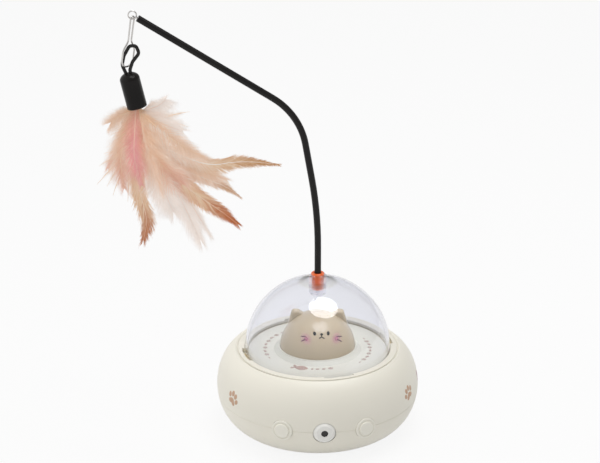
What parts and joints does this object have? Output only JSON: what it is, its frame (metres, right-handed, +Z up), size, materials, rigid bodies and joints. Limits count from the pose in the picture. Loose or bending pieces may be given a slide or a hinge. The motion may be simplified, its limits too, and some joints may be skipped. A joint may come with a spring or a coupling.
{
  "type": "automatic cat laser toy",
  "caption": "Round cream base with a swivelling laser eye and push buttons; a turntable carries a clear dome over a cat head and a bent wand with a feather lure.",
  "frame": {"origin": "centre of the foot ring's lower face, on the turntable's axis", "axes": "+Z up along the turntable's axis, -Y the way the laser eye and the cat face, the wand leans towards -X"},
  "size_m": [0.1875, 0.1216, 0.2591],
  "materials": {
    "cream_shell": "satin moulded plastic",
    "cream_button": "satin moulded plastic",
    "foot_rubber": "matt",
    "inner_plastic": "moulded, unpainted",
    "deck_white": "satin with a printed ring",
    "cat_taupe": "glossy moulded plastic with a printed face",
    "clear_dome": "clear glossy plastic",
    "orange_socket": "translucent glossy plastic",
    "wand_black": "satin tube",
    "wire_steel": "bright wire",
    "cord_black": "satin",
    "cap_black": "glossy",
    "fluff_peach": "downy",
    "feather_tan": "banded",
    "feather_brown": "silky",
    "feather_white": "downy",
    "laser_white": "smooth white plastic",
    "dark_window": "polished",
    "brass": "turned",
    "gear_nylon": "moulded nylon",
    "steel": "machined",
    "motor_can": "drawn steel can",
    "board_green": "solder mask",
    "switch_black": "moulded",
    "cell_wrap": "shrink wrap"
  },
  "bodies": {
    "base": {"bottom_case": "cream_shell", "top_shell": "cream_shell", "foot_ring": "foot_rubber", "chassis": "inner_plastic", "case_screws": "steel", "turntable_axle": "steel", "thrust_washer": "gear_nylon", "retaining_washer": "steel", "axle_screw": "steel", "idler_pin": "steel", "drive_motor": "motor_can", "motor_screws": "steel", "switch_boards": "board_green", "tact_switches": "switch_black", "pivot_pins": "steel", "laser_motor": "motor_can", "battery": "cell_wrap", "main_board": "board_green", "usb_port": "steel"},
    "spinner": {"turntable": "cream_shell", "deck_disc": "deck_white", "deck_screws": "steel", "cat_head": "cat_taupe", "drive_gear": "gear_nylon"},
    "idler": {"idler_gear": "gear_nylon"},
    "pinion": {"motor_pinion": "brass", "motor_shaft": "steel"},
    "dome": {"dome_cover": "clear_dome"},
    "socket": {"wand_socket": "orange_socket"},
    "wand": {"wand_sleeve": "wand_black", "wand_core": "wire_steel"},
    "pin": {"wire_pin": "wire_steel"},
    "lure": {"lure_cap": "cap_black", "lure_cord": "cord_black", "feather_fluff": "fluff_peach", "feather_tan": "feather_tan", "feather_brown": "feather_brown", "feather_small_brown": "feather_brown", "feather_white_long": "feather_white", "feather_white_short": "feather_white", "feather_left": "feather_brown", "feather_side": "feather_white", "feather_back": "feather_white", "feather_upper": "feather_white", "feather_right": "fluff_peach"},
    "power": {"power_button": "cream_button"},
    "mode": {"mode_button": "cream_button"},
    "laser": {"laser_eye": "laser_white", "laser_window": "dark_window", "laser_module": "brass", "laser_sector": "gear_nylon"},
    "laser_drive": {"laser_pinion": "brass", "laser_shaft": "steel"}
  },
  "joints": [
    {"name": "turntable_spin", "type": "hinge", "parent": "base", "child": "spinner", "pos_m": [0, 0, 0.044], "axis": [0, 0, 1], "continuous": true},
    {"name": "idler_spin", "type": "hinge", "parent": "base", "child": "idler", "pos_m": [0.0288, 0, 0.036], "axis": [0, 0, 1], "continuous": true},
    {"name": "pinion_spin", "type": "hinge", "parent": "base", "child": "pinion", "pos_m": [0.0366, 0.01351, 0.036], "axis": [0, 0, 1], "continuous": true},
    {"name": "dome_twist", "type": "hinge", "parent": "spinner", "child": "dome", "pos_m": [0, 0, 0.048], "axis": [0, 0, 1], "range_deg": [0, 22]},
    {"name": "wand_aim", "type": "hinge", "parent": "dome", "child": "socket", "pos_m": [0, 0, 0.09], "axis": [0, 0, 1], "continuous": true},
    {"name": "wand_pull", "type": "slide", "parent": "socket", "child": "wand", "axis": [0, 0, 1], "range_m": [0, 0.008]},
    {"name": "pin_swing", "type": "hinge", "parent": "wand", "child": "pin", "pos_m": [-0.10454, 0, 0.2541], "axis": [1, 0, 0], "range_deg": [-30, 30]},
    {"name": "lure_swing", "type": "hinge", "parent": "pin", "child": "lure", "pos_m": [-0.10844, 0, 0.22637], "axis": [0, 1, 0], "range_deg": [-10, 15]},
    {"name": "power_press", "type": "slide", "parent": "base", "child": "power", "axis": [0.4035, 0.915, 0], "range_m": [0, 0.0008], "stiffness_N_per_m": 600, "springref_m": -0.0005},
    {"name": "mode_press", "type": "slide", "parent": "base", "child": "mode", "axis": [-0.4035, 0.915, 0], "range_m": [0, 0.0008], "stiffness_N_per_m": 600, "springref_m": -0.0005},
    {"name": "laser_pan", "type": "hinge", "parent": "base", "child": "laser", "pos_m": [0, -0.05589, 0.0225], "axis": [0, 0, 1], "range_deg": [-10, 10]},
    {"name": "laser_pinion_spin", "type": "hinge", "parent": "base", "child": "laser_drive", "pos_m": [0, -0.03789, 0.028], "axis": [0, 0, 1], "range_deg": [-36, 36]}
  ],
  "couplings": [
    {"joint": "idler_spin", "follows": "turntable_spin", "ratio": -2},
    {"joint": "pinion_spin", "follows": "turntable_spin", "ratio": 3.2},
    {"joint": "laser_pinion_spin", "follows": "laser_pan", "ratio": -3.5}
  ]
}
